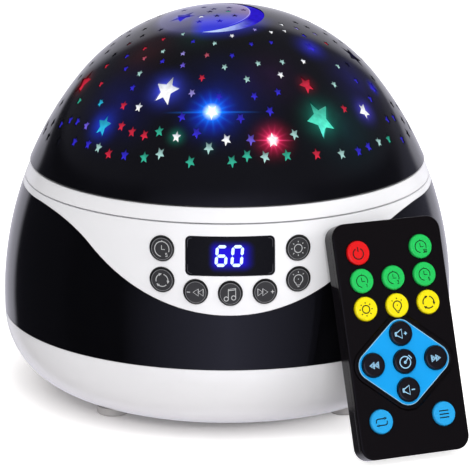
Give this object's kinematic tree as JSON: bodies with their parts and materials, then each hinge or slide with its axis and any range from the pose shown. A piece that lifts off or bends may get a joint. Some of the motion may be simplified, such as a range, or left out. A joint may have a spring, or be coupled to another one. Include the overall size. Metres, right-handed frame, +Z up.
{
  "type": "rotating night light projector",
  "caption": "Domed star projector lamp: a perforated shell turns on a geared ring over a body with a display and push buttons; a slim remote control leans on its side.",
  "frame": {"origin": "on the table, under the centre of the projector's round base", "axes": "+Z up along the dome's turning axis, -Y out of the control panel, +X to the right seen from the front"},
  "size_m": [0.14, 0.1568, 0.119],
  "materials": {
    "white_shell": "smooth semi-gloss white ABS",
    "black_band": "high-gloss black ABS",
    "dome_black": "high-gloss dark shell",
    "star_lining": "translucent tinted lining, lit from inside",
    "button_dark": "satin dark grey with pale line icons",
    "window_black": "smoked gloss lens",
    "display_black": "black display block",
    "circuit_green": "solder-masked board",
    "switch_black": "moulded switch bodies",
    "screw_steel": "zinc-plated screws",
    "motor_steel": "plated can",
    "speaker_dark": "paper cone in a dark frame",
    "socket_steel": "plated socket",
    "foot_rubber": "soft black rubber",
    "gear_white": "natural acetal",
    "lamp_white": "matt white reflector",
    "led_yellow": "light-emitting packages",
    "remote_black": "gloss black face and back",
    "inlay_blue": "blue gloss inlay",
    "key_red": "glossy red",
    "key_green": "glossy green",
    "key_yellow": "glossy yellow",
    "key_black": "glossy black",
    "key_blue": "glossy blue",
    "cell_steel": "coin cell can",
    "sender_dark": "dark infrared sender"
  },
  "bodies": {
    "housing": {"base_shell": "white_shell", "rubber_feet": "foot_rubber", "base_screws": "screw_steel", "side_band": "black_band", "upper_shell": "white_shell", "display_window": "window_black", "display_module": "display_black", "control_board": "circuit_green", "tact_switches": "switch_black", "main_board": "circuit_green", "board_screws": "screw_steel", "speaker": "speaker_dark", "power_inlet": "socket_steel", "inlet_board": "circuit_green", "drive_motor": "motor_steel", "motor_screws": "screw_steel", "reflector_dish": "lamp_white", "lamp_post": "lamp_white", "led_board": "lamp_white", "colour_leds": "led_yellow", "warm_led": "led_yellow"},
    "turntable": {"turntable": "gear_white", "dome_ring": "white_shell"},
    "pinion": {"motor_shaft": "screw_steel", "drive_pinion": "gear_white"},
    "dome": {"star_dome": "dome_black", "star_liner": "star_lining"},
    "timer_button": {"timer_button": "button_dark"},
    "rotation_button": {"rotation_button": "button_dark"},
    "previous_button": {"previous_button": "button_dark"},
    "music_button": {"music_button": "button_dark"},
    "next_button": {"next_button": "button_dark"},
    "warm_light_button": {"warm_light_button": "button_dark"},
    "colour_button": {"colour_button": "button_dark"},
    "remote": {"remote_front": "remote_black", "remote_back": "remote_black", "remote_inlay": "inlay_blue", "remote_board": "circuit_green", "ir_led": "sender_dark", "coin_cell": "cell_steel"},
    "battery_cap": {"battery_cap": "remote_black"},
    "key_power": {"key_power": "key_red"},
    "key_timer_30": {"key_timer_30": "key_green"},
    "key_timer_1": {"key_timer_1": "key_green"},
    "key_timer_3": {"key_timer_3": "key_green"},
    "key_timer_5": {"key_timer_5": "key_green"},
    "key_warm_light": {"key_warm_light": "key_yellow"},
    "key_colour_light": {"key_colour_light": "key_yellow"},
    "key_rotation": {"key_rotation": "key_yellow"},
    "key_volume_up": {"key_volume_up": "key_black"},
    "key_previous": {"key_previous": "key_black"},
    "key_play": {"key_play": "key_black"},
    "key_next": {"key_next": "key_black"},
    "key_volume_down": {"key_volume_down": "key_black"},
    "key_repeat": {"key_repeat": "key_blue"},
    "key_order": {"key_order": "key_blue"}
  },
  "joints": [
    {"name": "dome_rotation", "type": "hinge", "parent": "housing", "child": "turntable", "pos_m": [0, 0, 0.0705], "axis": [0, 0, 1], "continuous": true},
    {"name": "pinion_spin", "type": "hinge", "parent": "housing", "child": "pinion", "pos_m": [0, 0.0432, 0.0676], "axis": [0, 0, 1], "continuous": true},
    {"name": "dome_lift", "type": "slide", "parent": "turntable", "child": "dome", "axis": [0, 0, 1], "range_m": [0, 0.075]},
    {"name": "timer_button_press", "type": "slide", "parent": "housing", "child": "timer_button", "axis": [0, 1, 0], "range_m": [0, 0.0006], "stiffness_N_per_m": 400},
    {"name": "rotation_button_press", "type": "slide", "parent": "housing", "child": "rotation_button", "axis": [0, 1, 0], "range_m": [0, 0.0006], "stiffness_N_per_m": 400},
    {"name": "previous_button_press", "type": "slide", "parent": "housing", "child": "previous_button", "axis": [0, 1, 0], "range_m": [0, 0.0006], "stiffness_N_per_m": 400},
    {"name": "music_button_press", "type": "slide", "parent": "housing", "child": "music_button", "axis": [0, 1, 0], "range_m": [0, 0.0006], "stiffness_N_per_m": 400},
    {"name": "next_button_press", "type": "slide", "parent": "housing", "child": "next_button", "axis": [0, 1, 0], "range_m": [0, 0.0006], "stiffness_N_per_m": 400},
    {"name": "warm_light_button_press", "type": "slide", "parent": "housing", "child": "warm_light_button", "axis": [0, 1, 0], "range_m": [0, 0.0006], "stiffness_N_per_m": 400},
    {"name": "colour_button_press", "type": "slide", "parent": "housing", "child": "colour_button", "axis": [0, 1, 0], "range_m": [0, 0.0006], "stiffness_N_per_m": 400},
    {"name": "remote_lift", "type": "slide", "parent": "housing", "child": "remote", "axis": [0, 0, 1], "range_m": [0, 0.08]},
    {"name": "battery_cap_turn", "type": "hinge", "parent": "remote", "child": "battery_cap", "pos_m": [0.04718, -0.0627, 0.03732], "axis": [0.3222, -0.8711, 0.3706], "range_deg": [0, 60]},
    {"name": "key_power_press", "type": "slide", "parent": "remote", "child": "key_power", "axis": [-0.3222, 0.8711, -0.3706], "range_m": [0, 0.00035], "stiffness_N_per_m": 400},
    {"name": "key_timer_30_press", "type": "slide", "parent": "remote", "child": "key_timer_30", "axis": [-0.3222, 0.8711, -0.3706], "range_m": [0, 0.00035], "stiffness_N_per_m": 400},
    {"name": "key_timer_1_press", "type": "slide", "parent": "remote", "child": "key_timer_1", "axis": [-0.3222, 0.8711, -0.3706], "range_m": [0, 0.00035], "stiffness_N_per_m": 400},
    {"name": "key_timer_3_press", "type": "slide", "parent": "remote", "child": "key_timer_3", "axis": [-0.3222, 0.8711, -0.3706], "range_m": [0, 0.00035], "stiffness_N_per_m": 400},
    {"name": "key_timer_5_press", "type": "slide", "parent": "remote", "child": "key_timer_5", "axis": [-0.3222, 0.8711, -0.3706], "range_m": [0, 0.00035], "stiffness_N_per_m": 400},
    {"name": "key_warm_light_press", "type": "slide", "parent": "remote", "child": "key_warm_light", "axis": [-0.3222, 0.8711, -0.3706], "range_m": [0, 0.00035], "stiffness_N_per_m": 400},
    {"name": "key_colour_light_press", "type": "slide", "parent": "remote", "child": "key_colour_light", "axis": [-0.3222, 0.8711, -0.3706], "range_m": [0, 0.00035], "stiffness_N_per_m": 400},
    {"name": "key_rotation_press", "type": "slide", "parent": "remote", "child": "key_rotation", "axis": [-0.3222, 0.8711, -0.3706], "range_m": [0, 0.00035], "stiffness_N_per_m": 400},
    {"name": "key_volume_up_press", "type": "slide", "parent": "remote", "child": "key_volume_up", "axis": [-0.3222, 0.8711, -0.3706], "range_m": [0, 0.00035], "stiffness_N_per_m": 400},
    {"name": "key_previous_press", "type": "slide", "parent": "remote", "child": "key_previous", "axis": [-0.3222, 0.8711, -0.3706], "range_m": [0, 0.00035], "stiffness_N_per_m": 400},
    {"name": "key_play_press", "type": "slide", "parent": "remote", "child": "key_play", "axis": [-0.3222, 0.8711, -0.3706], "range_m": [0, 0.00035], "stiffness_N_per_m": 400},
    {"name": "key_next_press", "type": "slide", "parent": "remote", "child": "key_next", "axis": [-0.3222, 0.8711, -0.3706], "range_m": [0, 0.00035], "stiffness_N_per_m": 400},
    {"name": "key_volume_down_press", "type": "slide", "parent": "remote", "child": "key_volume_down", "axis": [-0.3222, 0.8711, -0.3706], "range_m": [0, 0.00035], "stiffness_N_per_m": 400},
    {"name": "key_repeat_press", "type": "slide", "parent": "remote", "child": "key_repeat", "axis": [-0.3222, 0.8711, -0.3706], "range_m": [0, 0.00035], "stiffness_N_per_m": 400},
    {"name": "key_order_press", "type": "slide", "parent": "remote", "child": "key_order", "axis": [-0.3222, 0.8711, -0.3706], "range_m": [0, 0.00035], "stiffness_N_per_m": 400}
  ],
  "couplings": [
    {"joint": "pinion_spin", "follows": "dome_rotation", "ratio": -5}
  ]
}
